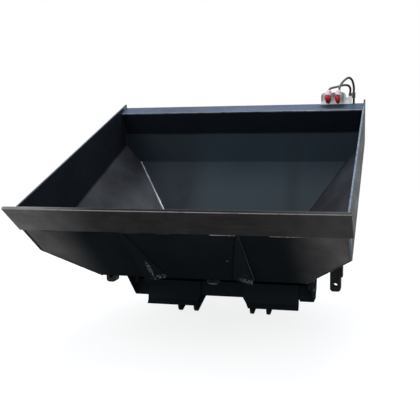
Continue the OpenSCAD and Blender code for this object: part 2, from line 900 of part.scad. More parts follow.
// Red cap with a waist and a pull ring, pushed over the probe
cap_rs = [23, 18.5];
cap_wall = 3;
cap_gap = 0.5;
cap_neck_r = 7;
cap_h = 54;
module dust_cap(i) {
  cap_r = cap_rs[i];
  placed() color("#c01822") at_coupler(i) translate([0, 0, -cap_gap])
    rotate_extrude()
      polygon([
        [probe_r + cap_gap, 0], [cap_r, 0], [cap_r, -cap_h / 5], [cap_r - cap_wall, -cap_h / 2],
        [cap_neck_r, -cap_h], [0, -cap_h], [0, -probe_l - cap_gap],
        [probe_r + cap_gap, -probe_l - cap_gap]
      ]);
}

module dust_cap_left() dust_cap(0);
module dust_cap_right() dust_cap(1);

// Hoses: routes by hand, from the couplers over the beam, down the back and under to the cylinder
function coupler_axis() = [sin(coupler_lean), 0, cos(coupler_lean)];
function coupler_end(i) =
  [coupler_x + i * coupler_pitch, coupler_y, coupler_z] + coupler_top * coupler_axis();
hose_top_in = [95, 73];
hose_low_in = [43, 19];
hose_top_x = [bucket_w / 2 - hose_top_in[0], bucket_w / 2 - hose_top_in[1]];
hose_low_x = [rib_out - hose_low_in[0], rib_out - hose_low_in[1]];
hose_top_out = 22;
hose_low_out = 20;
hose_top_y = rim_depth + hose_top_out;
hose_low_y = rib_back_y + hose_low_out;
hose_gap = 0.3;
hose_start = 4;
fitting_l = 22;
fitting_x = port_face + fitting_l;
route_open = concat(
  [for (d = [0, hose_start / 2, hose_start]) coupler_end(0) + d * coupler_axis()],
  [
    [590, 1557, 608], [603, 1560, 612], [618, 1566, 615], [637, 1576, 620], [658, 1584, 626],
    [678, 1596, 628], [694, 1609, 625], [703, 1621, 615], [706, 1629, 602], [705, 1634, 590],
    [705, 1634, 582], [705, 1634, 550], [705, 1634, 500], [705, 1634, 470], [705, 1634, 440],
    [694, 1640, 395], [650, 1650, 345], [570, 1658, 300], [480, 1660, 255], [400, 1660, 215],
    [345, 1660, 175], [322, 1660, 120], [320, 1660, 80], [320, 1660, 60], [320, 1660, 0],
    [320, 1660, -120], [320, 1660, -240], [320, 1660, -360], [318, 1660, -420],
    [300, 1650, -468], [260, 1612, -488], [222, 1560, -488], [190, 1490, -488], [170, 1420, -488],
    [165, 1350, -488], [160, 1290, -488],
    [140, 1240, -488], [105, 1215, -487]
  ],
  [for (d = [hose_start, hose_start / 2, 0]) [fitting_x + d, front_port_y, cyl_z]]
);
route_close = concat(
  [for (d = [0, hose_start / 2, hose_start]) coupler_end(1) + d * coupler_axis()],
  [
    [646, 1556, 616], [659, 1562, 641], [680, 1578, 663], [699, 1598, 673], [716, 1616, 659],
    [724, 1629, 634], [727, 1634, 612], [727, 1634, 598], [727, 1634, 550], [727, 1634, 500],
    [727, 1634, 470], [727, 1634, 440], [718, 1640, 390],
    [675, 1650, 335], [595, 1658, 280], [505, 1660, 235], [425, 1660, 195], [371, 1660, 150],
    [347, 1660, 95], [344, 1660, 65], [344, 1660, 30], [344, 1660, -30], [344, 1660, -120],
    [344, 1660, -240], [344, 1660, -360], [340, 1660, -430], [318, 1652, -480], [275, 1625, -502],
    [220, 1590, -500], [160, 1562, -492], [110, 1555, -487]
  ],
  [for (d = [hose_start, hose_start / 2, 0]) [fitting_x + d, rear_port_y, cyl_z]]
);

// Catmull-Rom curve through the points, then a tube of rings that don't twist along it
function spline(p, steps) =
  let (q = concat([2 * p[0] - p[1]], p, [2 * p[len(p) - 1] - p[len(p) - 2]]))
  [
    for (i = [1:len(q) - 3]) for (k = [0:(i == len(q) - 3 ? steps : steps - 1)])
      let (t = k / steps)
      (2 * q[i] + (q[i + 1] - q[i - 1]) * t
        + (2 * q[i - 1] - 5 * q[i] + 4 * q[i + 1] - q[i + 2]) * t * t
        + (3 * q[i] - q[i - 1] - 3 * q[i + 1] + q[i + 2]) * t * t * t) / 2
  ];
function tangent(p, i) = unit(p[min(i + 1, len(p) - 1)] - p[max(i - 1, 0)]);
function square_to(n, t) = unit(n - (n * t) * t);
function normals(p) = [
  for (i = 0, n = square_to([0, 1, 0], tangent(p, 0)); i < len(p);
    i = i + 1, n = i < len(p) ? square_to(n, tangent(p, i)) : n) n
];

module tube(p, r, sides) {
  n = normals(p);
  rings = [
    for (i = [0:len(p) - 1]) let (t = tangent(p, i), b = cross(t, n[i]))
      for (k = [0:sides - 1])
        p[i] + r * (cos(360 * k / sides) * n[i] + sin(360 * k / sides) * b)
  ];
  last = (len(p) - 1) * sides;
  walls = [
    for (i = [0:len(p) - 2]) for (k = [0:sides - 1])
      let (a = i * sides + k, b = i * sides + (k + 1) % sides)
      each [[a, a + sides, b + sides], [a, b + sides, b]]
  ];
  ends = [[for (k = [0:sides - 1]) k], [for (k = [sides - 1:-1:0]) last + k]];
  polyhedron(points = rings, faces = concat(walls, ends));
}

hose_sides = 8;
hose_steps = 2;
module hose_open() {
  placed() color("#1a1a1a") tube(spline(route_open, hose_steps), hose_r, hose_sides);
}

module hose_close() {
  placed() color("#1a1a1a") tube(spline(route_close, hose_steps), hose_r, hose_sides);
}

// Blocks that clip both hoses to the right rib's back edge and to the top beam
clamp_h = 22;
clamp_levels = [30, -300];
top_clamp_drop = 40;
module clamp_block(xs, y, back, z) {
  margin = 2 * hose_r;
  right = max(xs[1] + margin, rib_out);
  difference() {
    room_block(xs[0] - margin, right, back, y + margin, z, z + clamp_h);
    for (x = xs)
      translate([x, y, z - over]) cylinder(r = hose_r + hose_gap, h = clamp_h + 2 * over);
  }
}

module hose_clamps() {
  placed() color("#35393c") {
    for (z = clamp_levels) clamp_block(hose_low_x, hose_low_y, rib_back_y, z);
    clamp_block(hose_top_x, hose_top_y, rim_depth, beam_top_z - top_clamp_drop);
  }
}

// Crimped sleeves where each hose comes up behind the beam
ferrule_h = 34;
ferrule_wall = 3;
ferrule_up = [29, 33];
module hose_ferrules() {
  placed() color("#303336")
    for (i = [0, 1])
      translate([hose_top_x[i], hose_top_y, beam_top_z + ferrule_up[i]])
        difference() {
          cylinder(r = hose_r + hose_gap + ferrule_wall, h = ferrule_h);
          translate([0, 0, -over]) cylinder(r = hose_r + hose_gap, h = ferrule_h + 2 * over);
        }
}

// Adaptors from the barrel's ports to the hoses
module port_fittings() {
  placed() color(zinc)
    for (y = [front_port_y, rear_port_y])
      translate([0, y, cyl_z]) rotate([0, 90, 0]) {
        translate([0, 0, port_face - port_out / 2])
          cylinder(r = port_bore_r, h = port_out / 2);
        translate([0, 0, port_face]) hex(port_r, fitting_l / 2);
        translate([0, 0, port_face + fitting_l / 2]) cylinder(r = hose_r + ferrule_wall, h = fitting_l / 2);
      }
}

side_plate_left();
side_plate_right();
floor_plate();
bottom_plate();
back_plate();
hopper_plate_left();
hopper_plate_right();
top_beam();
cutting_edge();
front_stiffener_left();
front_stiffener_right();
rear_rib_left();
rear_rib_right();
rail_left();
rail_right();
slide_gate();
gate_lug();
rod_pin();
cylinder_rod();
cylinder_barrel();
cylinder_gland();
anchor_bracket();
anchor_pin();
anchor_pin_clips();
rod_pin_clips();
front_beam();
rear_beam();
cheek_left();
cheek_right();
cheek_bolts();
face_plate_left();
face_plate_right();
ear_left_outer();
ear_left_inner();
ear_right_inner();
ear_right_outer();
hanger_arm_left();
hanger_arm_right();
hanger_gusset_left();
hanger_gusset_right();
coupler_bracket();
bracket_bolts();
coupler_left();
coupler_right();
dust_cap_left();
dust_cap_right();
hose_open();
hose_close();
hose_clamps();
hose_ferrules();
port_fittings();
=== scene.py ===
import math
import random

import bpy
from mathutils import Matrix, Vector


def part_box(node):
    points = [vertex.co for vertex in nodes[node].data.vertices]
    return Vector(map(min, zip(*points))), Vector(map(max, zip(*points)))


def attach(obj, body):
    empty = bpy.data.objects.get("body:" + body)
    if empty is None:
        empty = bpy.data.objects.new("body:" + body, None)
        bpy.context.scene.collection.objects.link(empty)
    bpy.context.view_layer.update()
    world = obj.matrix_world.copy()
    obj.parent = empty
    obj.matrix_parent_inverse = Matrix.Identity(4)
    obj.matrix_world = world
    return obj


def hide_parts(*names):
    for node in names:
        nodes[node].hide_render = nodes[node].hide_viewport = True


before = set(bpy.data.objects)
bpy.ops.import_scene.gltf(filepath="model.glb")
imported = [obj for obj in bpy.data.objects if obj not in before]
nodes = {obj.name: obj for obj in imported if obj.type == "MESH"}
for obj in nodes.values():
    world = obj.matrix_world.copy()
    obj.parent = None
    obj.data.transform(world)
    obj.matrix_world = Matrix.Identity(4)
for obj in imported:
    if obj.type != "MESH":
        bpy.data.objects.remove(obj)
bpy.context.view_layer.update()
MM = 0.001
PIN = Vector((0, 1109, -698))  # the lower pin line, measured from the cutting edge, in mm
X, Y, Z = Vector((1, 0, 0)), Vector((0, 1, 0)), Vector((0, 0, 1))


def at(x, y, z):
    """A place given in mm from the cutting edge, in the frame's metres."""
    return (Vector((x, y, z)) - PIN) * MM


def box_mm(name):
    """The two corners of a CAD node's box, in mm from the cutting edge."""
    return [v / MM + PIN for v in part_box(name)]


def put(name, data):
    """A new object in the scene."""
    o = bpy.data.objects.new(name, data)
    bpy.context.scene.collection.objects.link(o)
    return o


# Camera, fitted to edges that were measured on the photo
CAMERA_AT = (978.947, -2977.054, 362.206)
SEE_RIGHT = Vector((0.96813852, 0.25011972, -0.01216279))
SEE_UP = Vector((-0.01651297, 0.11223075, 0.99354496))
cam = put("camera", bpy.data.cameras.new("camera"))
turned = Matrix((SEE_RIGHT, SEE_UP, SEE_RIGHT.cross(SEE_UP))).transposed().to_4x4()
cam.matrix_world = Matrix.Translation(at(*CAMERA_AT)) @ turned
cam.data.lens = 60.811
cam.data.sensor_width = 36
cam.data.clip_start = 0.05
cam.data.clip_end = 200
bpy.context.scene.camera = cam

# Sizes that the seams and looks follow, in mm from the cutting edge. The CAD's boxes give the rest.
FLOOR_ANGLE = math.radians(36.7)
LOWER_BACK_ANGLE = math.radians(30)
EDGE_STEP = 4
FLOOR_T = 10
PLATE_T = 8
BEND_Z = 150
BEAM_FALL = 44
SIDE_CORNER_Y = 338
HOPPER_BACK_Z = 260
OUTLET_X, OUTLET_Y = 347, 1130
SIDE_IN, SIDE_OUT = (v.x for v in box_mm("side_plate_right"))
BOTTOM, BOTTOM_TOP = (v.z for v in box_mm("bottom_plate"))
NOSE_Y, BEAM_BACK_Y = (v.y for v in box_mm("top_beam"))
BEAM_LOW, BEAM_TOP = (v.z for v in box_mm("top_beam"))
RIB_IN, RIB_OUT = (v.x for v in box_mm("rear_rib_right"))
STIFFENER_IN, STIFFENER_OUT = (v.x for v in box_mm("front_stiffener_right"))
BACK_Y = box_mm("hopper_plate_right")[1].y
ROD_EYE = sum(box_mm("rod_pin"), Vector()) / 2
NOSE_Z = BEAM_TOP - BEAM_FALL

FLOOR_IN = Vector((0, math.sin(FLOOR_ANGLE), math.cos(FLOOR_ANGLE)))
FLOOR_DOWN = Vector((0, math.cos(FLOOR_ANGLE), -math.sin(FLOOR_ANGLE)))
FLOOR_END = Vector((0, (EDGE_STEP - BOTTOM * FLOOR_IN.z) / FLOOR_IN.y, BOTTOM))
BEND = Vector((0, BACK_Y, BEND_Z))
BACK_IN = Vector((0, -math.cos(LOWER_BACK_ANGLE), math.sin(LOWER_BACK_ANGLE)))
OUTLET_CORNER = Vector((OUTLET_X, OUTLET_Y, BOTTOM))
SIDE_CORNER = Vector((SIDE_OUT, SIDE_CORNER_Y, -SIDE_CORNER_Y * FLOOR_IN.y / FLOOR_IN.z))
BACK_CORNER = Vector((SIDE_OUT, BACK_Y, HOPPER_BACK_Z))
HOPPER_IN = (BACK_CORNER - SIDE_CORNER).cross(OUTLET_CORNER - SIDE_CORNER).normalized()
HOPPER_AT = HOPPER_IN.dot(OUTLET_CORNER)

# Each plate's face as a plane, a normal and its distance
floor_in = (FLOOR_IN, EDGE_STEP + FLOOR_T)
floor_out = (FLOOR_IN, EDGE_STEP)
hopper_in = (HOPPER_IN, HOPPER_AT + PLATE_T)
hopper_out = (HOPPER_IN, HOPPER_AT)
side_in = (X, SIDE_IN)
back_in = (Y, BACK_Y)
slope_in = (BACK_IN, BACK_IN.dot(BEND))
slope_out = (BACK_IN, BACK_IN.dot(BEND) - PLATE_T)
bottom_in = (Z, BOTTOM_TOP)
bottom_out = (Z, BOTTOM)
bend_at = (Z, BEND_Z)


def corner(*planes):
    """Where three planes meet."""
    normals = Matrix([p[0] for p in planes])
    return normals.inverted() @ Vector([p[1] for p in planes])


# Materials
def tone(r, g, b):
    """A colour as a screen shows it, 0 to 255 a channel, in the linear values that shaders take."""
    return tuple(((c / 255 + 0.055) / 1.055) ** 2.4 for c in (r, g, b))


def add_node(tree, kind, inputs=(), out=0, **props):
    """A new node, its inputs set or linked. Gives back one of its output sockets."""
    node = tree.nodes.new(kind)
    for key, value in props.items():
        setattr(node, key, value)
    for key, value in inputs.items() if isinstance(inputs, dict) else enumerate(inputs):
        if isinstance(value, bpy.types.NodeSocket):
            tree.links.new(value, node.inputs[key])
        elif value is not None:
            node.inputs[key].default_value = value
    return node.outputs[out]


class Graph:
    """A material's node tree, built call by call. Each call gives back an output socket."""

    def __init__(self, name, color, rough, metal, spec):
        self.material = bpy.data.materials.new(name)
        self.material.use_nodes = True
        self.tree = self.material.node_tree
        self.bsdf = self.tree.nodes["Principled BSDF"]
        self.set("Base Color", (*color, 1))
        self.set("Roughness", rough)
        self.set("Metallic", metal)
        self.set("Specular IOR Level", spec)
        self.place = self.add("ShaderNodeTexCoord", out="Object")

    def set(self, name, value):
        socket = self.bsdf.inputs[name]
        if isinstance(value, bpy.types.NodeSocket):
            self.tree.links.new(value, socket)
        else:
            socket.default_value = value

    def add(self, kind, inputs=(), out=0, **props):
        return add_node(self.tree, kind, inputs, out, **props)

    def math(self, op, *v):
        return self.add("ShaderNodeMath", v, operation=op)

    def vec(self, op, *v, out=0):
        return self.add("ShaderNodeVectorMath", v, operation=op, out=out)

    def times(self, product, *factors):
        for factor in factors:
            product = self.math("MULTIPLY", product, factor)
        return product

    def mix(self, fac, a, b):
        color = [(*c, 1) if isinstance(c, tuple) else c for c in (a, b)]
        return self.add("ShaderNodeMix", {0: fac, 6: color[0], 7: color[1]}, out=2, data_type="RGBA")

    def noise(self, scale, detail, rough, stretch=None):
        where = self.place if stretch is None else self.vec("MULTIPLY", self.place, stretch)
        return self.add("ShaderNodeTexNoise", {0: where, 2: scale, 3: detail, 4: rough})

    def ramp(self, value, lo, hi, a=0.0, b=1.0):
        """a up to lo and b from hi on, with a smooth step between."""
        return self.add("ShaderNodeMapRange", [value, lo, hi, a, b], interpolation_type="SMOOTHSTEP")

    def along(self, axis):
        """The place along axis 0, 1 or 2, in metres."""
        return self.add("ShaderNodeSeparateXYZ", [self.place], out=axis)

    def normal(self):
        return self.add("ShaderNodeNewGeometry", out="Normal")

    def facing(self, axis):
        """How far the surface faces along axis 0, 1 or 2, from -1 to 1."""
        return self.add("ShaderNodeSeparateXYZ", [self.normal()], out=axis)

    def upward(self, lo, hi):
        return self.ramp(self.facing(2), lo, hi)

    def edges(self, radius):
        """1 on sharp edges, falling to 0 within the radius, in metres."""
        soft = self.add("ShaderNodeBevel", [radius], samples=6)
        return self.ramp(self.vec("DOT_PRODUCT", soft, self.normal(), out=1), 0.98, 0.75)

    def spot(self, centre, reach, soft=0.5):
        """1 inside an ellipsoid given in mm from the cutting edge, falling to 0 at its skin."""
        away = self.vec("SUBTRACT", self.place, tuple(at(*centre)))
        away = self.vec("DIVIDE", away, tuple(r * MM for r in reach))
        return self.ramp(self.vec("LENGTH", away, out=1), 1, soft)

    def near_line(self, y, z, far, close):
        """1 beside the line across the bucket at y and z, in mm, falling to 0 at far, in metres."""
        away = self.vec("MULTIPLY", self.vec("SUBTRACT", self.place, tuple(at(0, y, z))), (0, 1, 1))
        return self.ramp(self.vec("LENGTH", away, out=1), far, close)

    def bump(self, height, strength, distance=0.002):
        self.set("Normal", self.add("ShaderNodeBump", {0: strength, 1: distance, "Height": height}))


RUB_REACH = 0.004
RUBBED = tone(118, 121, 124)
DUST = tone(60, 60, 60)
DIRT = (0.12, 0.11, 0.10)


def paint(name, color, light, rough=0.42, spec=0.1, edge=0.5, edge_color=RUBBED, dust=0.25, mottle=0.5,
          spots=(), extra=None):
    """Dark semi-gloss paint on steel: cloudy, a little dusty, rubbed along its edges."""
    g = Graph(name, color, rough, 0.0, spec)
    cloud = g.ramp(g.noise(2.6, 5, 0.6), 0.35, 0.68)
    base = g.mix(g.times(cloud, mottle), color, light)
    fine = g.ramp(g.noise(34, 6, 0.65), 0.52, 0.78)
    base = g.mix(g.times(fine, 0.35 * mottle), base, light)
    grime = g.times(g.upward(0.25, 0.95), g.ramp(g.noise(9, 6, 0.7), 0.3, 0.75))
    base = g.mix(g.times(grime, dust), base, DUST)
    for centre, reach, shade, strength, grain in spots:
        flecks = g.ramp(g.noise(grain, 8, 0.72), 0.50, 0.62)
        base = g.mix(g.times(g.spot(centre, reach), flecks, strength), base, shade)
    if extra:
        base = extra(g, base)
    rub = g.times(g.edges(RUB_REACH), g.ramp(g.noise(60, 5, 0.7), 0.35, 0.62))
    g.set("Base Color", g.mix(g.times(rub, edge), base, edge_color))
    g.set("Roughness", g.ramp(g.noise(14, 6, 0.6), 0.2, 0.8, rough - 0.1, rough + 0.16))
    g.bump(g.noise(420, 3, 0.6), 0.06)
    return g.material


def metal(name, color, rough, metallic=1.0, grain=None, tint=None, dirt=0.3, spots=()):
    """Bare or plated metal, cloudy and a little dirty. Grain stretches its fine scratches."""
    g = Graph(name, color, rough, metallic, 0.5)
    cloud = g.ramp(g.noise(40, 5, 0.6), 0.3, 0.7)
    base = g.mix(g.times(cloud, 0.5), color, tint or tuple(c * 0.7 for c in color))
    dirty = g.ramp(g.noise(90, 6, 0.75), 0.55, 0.75)
    base = g.mix(g.times(dirty, dirt), base, DIRT)
    # Spots paint shadows and highlights onto the metal
    for centre, reach, shade, strength in spots:
        base = g.mix(g.times(g.spot(centre, reach, 0.3), strength), base, shade)
    g.set("Base Color", base)
    g.set("Roughness", g.ramp(g.noise(120, 4, 0.6, grain), 0.3, 0.7, rough - 0.08, rough + 0.12))
    g.bump(g.noise(300, 3, 0.6, grain), 0.08)
    return g.material


def end_reflections(g, base, shade, dark_half, reach, right=1.0):
    """A painted reflection of the surroundings, in streaks: lighter towards both ends of the bucket, dark
    within dark_half of the middle, in metres.
    """
    x = g.along(0)
    away = g.math("ADD", g.ramp(x, -dark_half, -reach), g.ramp(x, dark_half, reach, 0, right))
    streaks = g.ramp(g.noise(5, 6, 0.6, (1, 0.6, 0.6)), 0.25, 0.75, 0.45, 1)
    return g.mix(g.times(away, streaks, 0.95), base, shade)


# Where the bracket's painted shadow falls on the beam's top, in mm
BRACKET_FOOT = (603, 1564, 500)


def beam_look(g, base):
    """A painted blue sky reflection in long streaks on the top, a painted shadow under the bracket, and a
    painted highlight with some wear along the front edge.
    """
    streaks = g.ramp(g.noise(9, 6, 0.62, (0.16, 1, 1)), 0.22, 0.72, 0.45, 1)
    # Painted sky reflection on the faces that look up
    base = g.mix(g.times(g.upward(0.25, 0.95), streaks, 0.70), base, tone(80, 100, 126))
    # Painted shadow of the bracket
    base = g.mix(g.times(g.spot(BRACKET_FOOT, (104, 40, 34), 0.7), 0.85), base, tone(34, 37, 42))
    # Painted highlight, with some wear, along the nose
    rubbed = g.times(g.ramp(g.along(0), 0.1, 0.5, 0.35, 0.9), g.ramp(g.noise(18, 5, 0.6), 0.3, 0.6, 0.3, 1))
    return g.mix(g.times(g.near_line(NOSE_Y, NOSE_Z, 0.010, 0.004), rubbed), base, tone(160, 164, 170))


BAR_MARK = (-735, 70, -52)


def edge_bar_look(g, base):
    """Scoured steel with a painted reflection, lighter at its left end, and a worn lip that fades at the
    left.
    """
    base = end_reflections(g, base, tone(156, 151, 147), 0.32, 0.82, 0.3)
    mark = g.times(g.spot(BAR_MARK, (95, 60, 60), 0.8), g.ramp(g.noise(26, 5, 0.6), 0.35, 0.6))
    base = g.mix(g.times(mark, 0.4), base, tone(104, 101, 98))
    rolled = g.ramp(g.noise(30, 5, 0.6, (0.12, 1, 1)), 0.5, 0.75)
    base = g.mix(g.times(rolled, 0.25), base, tone(74, 72, 71))
    lip = g.times(g.near_line(0, 0, 0.0045, 0.0015), g.ramp(g.along(0), -0.74, -0.5, 0.25, 1))
    worn = g.times(lip, g.ramp(g.noise(25, 4, 0.6), 0.25, 0.5, 0.4, 1))
    return g.mix(g.times(worn, 0.85), base, tone(160, 152, 156))


# The floor plate's painted reflection, lighter towards both ends
def floor_look(g, base):
    return end_reflections(g, base, tone(152, 144, 141), 0.47, 0.80)


FOOT_MARK = (-640, 560, -420)


def foot_look(g, base):
    """The bottom plate's front edge is worn light near its left end only."""
    return g.mix(g.times(g.spot(FOOT_MARK, (170, 60, 20), 0.8), 0.8), base, tone(118, 116, 114))


RIB_X = (RIB_IN + RIB_OUT) / 2
BACK_LIGHT_FROM, BACK_LIGHT_FULL = 200, -60


def back_look(g, base):
    """Blue-grey, with painted light low down where the plate slopes up to the sky, painted shade in bands
    over the ribs behind it, and darker at the left.
    """
    # Painted light on the lower, sloping part
    low = g.ramp(g.along(2), at(0, 0, BACK_LIGHT_FROM).z, at(0, 0, BACK_LIGHT_FULL).z)
    base = g.mix(g.times(low, 0.8), base, tone(54, 63, 69))
    x = g.along(0)
    near = g.math("SUBTRACT", g.math("ABSOLUTE", x), RIB_X * MM)
    # Painted shade in bands over the ribs
    rib_shade_band = g.ramp(g.math("ABSOLUTE", near), 0.075, 0.01)
    base = g.mix(g.times(rib_shade_band, g.ramp(g.noise(6, 4, 0.6), 0.3, 0.7, 0.3, 1), 0.5), base, tone(28, 38, 45))
    left = g.times(g.ramp(x, -0.20, -0.34), g.ramp(g.noise(3, 4, 0.6), 0.3, 0.7, 0.7, 1))
    return g.mix(g.times(left, 0.75), base, tone(26, 34, 41))


def hopper_look(g, base):
    """The left slope is lighter towards the seam that bounds it."""
    x = g.along(0)
    near = g.times(g.ramp(x, -0.70, -0.54), g.ramp(x, 0.1, -0.1))
    cloudy = g.ramp(g.noise(7, 5, 0.6), 0.3, 0.7, 0.6, 1)
    return g.mix(g.times(near, cloudy, 0.9), base, tone(92, 94, 98))


def hitch_look(g, base):
    """The hitch's upper faces lie in the shade of the floor and hold no light dust."""
    return g.mix(g.times(g.upward(0.4, 0.8), 0.9), base, tone(4, 5, 6))


def rim_highlight_and_rub(g, shown):
    """Where a side plate's narrow faces carry a painted highlight and some rubbing, as far as shown."""
    narrow = g.ramp(g.math("ABSOLUTE", g.facing(0)), 0.6, 0.3)
    return g.times(narrow, g.ramp(g.noise(30, 5, 0.65), 0.3, 0.6, 0.5, 1), shown)


def left_rim_look(g, base):
    """A painted highlight, with some rubbing, on the faces that don't look down."""
    return g.mix(rim_highlight_and_rub(g, g.times(g.upward(-0.2, 0.2), 0.8)), base, tone(96, 104, 114))


RIM_DARK_FROM, RIM_DARK_FULL = 1440, 1560


def right_rim_look(g, base):
    """As the left rim's painted highlight, lighter, but for its dark upper end."""
    end = g.ramp(g.along(1), at(0, RIM_DARK_FROM, 0).y, at(0, RIM_DARK_FULL, 0).y)
    shade = g.mix(end, tone(130, 144, 162), tone(62, 74, 94))
    return g.mix(rim_highlight_and_rub(g, 0.9), base, shade)


# Marks in paint: centre and reach in mm from the cutting edge, colour, strength, grain of the flecks
FLECK = tone(216, 214, 216)
MARKS = {
    "side": [((-785, 1580, 505), (9, 44, 34), tone(150, 152, 166), 0.9, 3)],
    "hopper": [((660, 620, -40), (90, 130, 90), tone(150, 146, 150), 0.9, 60)],
    "floor": [((191, 390, -288), (12, 16, 14), FLECK, 0.5, 150),
              ((-262, 470, -345), (22, 60, 50), FLECK, 0.8, 150)],
    "stiffener": [((-243, 440, -366), (12, 110, 90), FLECK, 1.0, 150),
                  ((-190, 520, -424), (80, 60, 34), FLECK, 1.0, 110),
                  ((250, 505, -416), (76, 50, 26), FLECK, 1.0, 130),
                  ((262, 480, -396), (36, 60, 40), tone(74, 58, 62), 0.8, 20)],
    "hitch": [((330, 1037, -590), (70, 30, 50), tone(66, 66, 66), 0.5, 12),
              ((0, 1109, -744), (400, 80, 40), tone(236, 232, 226), 1.0, 60),
              ((-163, 1085, -668), (20, 60, 60), tone(120, 112, 104), 0.7, 40),
              ((390, 1037, -640), (70, 30, 60), tone(46, 56, 66), 0.8, 10)],
    "arm": [((0, 1000, -520), (900, 60, 40), tone(96, 94, 92), 0.5, 60)],
    "stitch_weld": [((390, 160, -122), (400, 60, 60), tone(58, 54, 53), 0.9, 30)],
}

# Painted shadows and reflections on the bracket's face: centre and reach in x and z, in mm, colour, strength.
# The last three are painted highlights at its foot.
BRACKET_Y, BRACKET_DEEP = 1594, 40
BRACKET_LIGHT_AND_SHADOW = [((528, 556), (22, 48), tone(112, 116, 114), 0.8),
                  ((605, 570), (17, 34), tone(138, 104, 116), 0.85),
                  ((662, 548), (13, 46), tone(112, 124, 118), 0.75),
                  ((645, 582), (46, 15), tone(112, 100, 100), 0.7),
                  ((604, 520), (30, 22), tone(244, 240, 242), 0.9),
                  ((536, 518), (30, 18), tone(236, 244, 244), 0.8),
                  ((690, 522), (22, 22), tone(240, 244, 242), 0.9)]
bracket_painted_light = [((x, BRACKET_Y, z), (wide, BRACKET_DEEP, high), shade, strength)
                 for (x, z), (wide, high), shade, strength in BRACKET_LIGHT_AND_SHADOW]
# A painted shadow over the rod's eye, where it lies in shade under the floor
EYE_SHADOW = (ROD_EYE, (90, 90, 90), tone(18, 18, 20), 1.0)

# The plates share one dark paint. The copies below differ in colour as painted light and shade: lighter and
# bluer where a plate takes the sky's light and reflection, darker where it lies in shade.
mats = {
    "paint": paint("paint", tone(18, 21, 25), tone(34, 38, 42)),
    "side": paint("side_paint", tone(22, 25, 31), tone(33, 36, 43), spec=0.08, spots=MARKS["side"],
                  extra=left_rim_look),
    "side_right": paint("side_paint_right", tone(22, 25, 31), tone(33, 36, 43), spec=0.04,
                        extra=right_rim_look),
    "hopper": paint("hopper_paint", tone(37, 38, 44), tone(58, 61, 66), mottle=0.9, dust=0.3, rough=0.5,
                    spots=MARKS["hopper"], extra=hopper_look),
    "back": paint("back_paint", tone(31, 43, 52), tone(42, 53, 61), mottle=0.5, rough=0.4, dust=0.15,
                  extra=back_look),
    # The beam's light rubbed edges are a painted highlight as well as wear
    "beam": paint("beam_paint", tone(22, 26, 33), tone(30, 35, 43), dust=0.0, rough=0.36, edge=0.8,
                  edge_color=tone(134, 141, 150), extra=beam_look),
    "floor": paint("floor_paint", tone(32, 38, 41), tone(44, 49, 52), rough=0.5, spec=0.0, edge=0.15,
                   spots=MARKS["floor"], extra=floor_look),
    # Darkened as painted shade, against the light on the bottom plate's front face
    "foot": paint("foot_paint_shaded", tone(8, 10, 12), tone(15, 18, 20), spec=0.0, edge=0.0, dust=0.0,
                  extra=foot_look),
    "edge": paint("edge_steel", tone(34, 33, 34), tone(48, 46, 46), rough=0.5, mottle=0.6, spec=0.03,
                  edge=0.5, edge_color=tone(92, 92, 90), extra=edge_bar_look),
    "stiffener": paint("stiffener_paint", tone(35, 41, 44), tone(46, 51, 54), spec=0.0, edge=0.2,
                       edge_color=tone(80, 80, 80), spots=MARKS["stiffener"]),
    # Darkened as painted shade: the pins, clips, gland and bolts lie in shade under the floor
    "pin": paint("pin_steel_shaded", tone(26, 27, 28), tone(44, 45, 46), rough=0.4, spec=0.15, edge=0.6),
    "hitch": paint("hitch_paint", tone(36, 43, 47), tone(50, 57, 61), spec=0.0, edge=0.35,
                   edge_color=tone(70, 70, 70), spots=MARKS["hitch"], extra=hitch_look),
    "arm": paint("arm_paint", tone(42, 42, 42), tone(60, 60, 59), edge=0.7, spec=0.05, spots=MARKS["arm"]),
    "dark_weld": paint("dark_weld", tone(24, 28, 31), tone(36, 40, 43), spec=0.0, edge=0.1),
    "worn_weld": paint("worn_weld", tone(56, 54, 52), tone(136, 130, 124), spec=0.0, edge=0.3, mottle=0.9),
    "weld": paint("weld_paint", tone(20, 23, 26), tone(48, 51, 54), edge=0.3, mottle=0.9),
    "bright_weld": paint("chipped_weld", tone(150, 150, 156), tone(250, 250, 252), mottle=1.0, edge=0.6,
                         edge_color=tone(196, 196, 196), dust=0.1),
    "stitch_weld": paint("stitch_weld", tone(84, 78, 76), tone(190, 182, 178), mottle=1.0, edge=0.2,
                         spots=MARKS["stitch_weld"]),
    "gate": metal("gate_steel", (0.10, 0.105, 0.11), rough=0.45, metallic=0.7, grain=(1, 0.1, 1)),
    "zinc": metal("zinc", (0.55, 0.55, 0.53), rough=0.36, metallic=0.9),
    # Carries the bracket's painted shadows and highlights
    "galvanised": metal("galvanised", (0.74, 0.76, 0.76), rough=0.42, metallic=0.35,
                        tint=(0.50, 0.54, 0.55), dirt=0.12, spots=bracket_painted_light),
    "chrome": metal("chrome", (0.62, 0.63, 0.64), rough=0.12, grain=(1, 0.05, 1), dirt=0.04,
                    spots=[EYE_SHADOW]),
    "clamp": metal("clamp_steel", (0.06, 0.06, 0.062), rough=0.5, metallic=0.6),
    # Zinc with a painted pink reflection of the red caps
    "coupler": metal("coupler_zinc_red_reflection", (0.80, 0.60, 0.62), rough=0.33, metallic=0.5,
                     tint=(0.58, 0.36, 0.40), dirt=0.1),
}

CAP_DARK_FROM, CAP_DARK_FULL = 540, 514
HOSE_DUST_FROM, HOSE_DUST_FULL = 700, 655


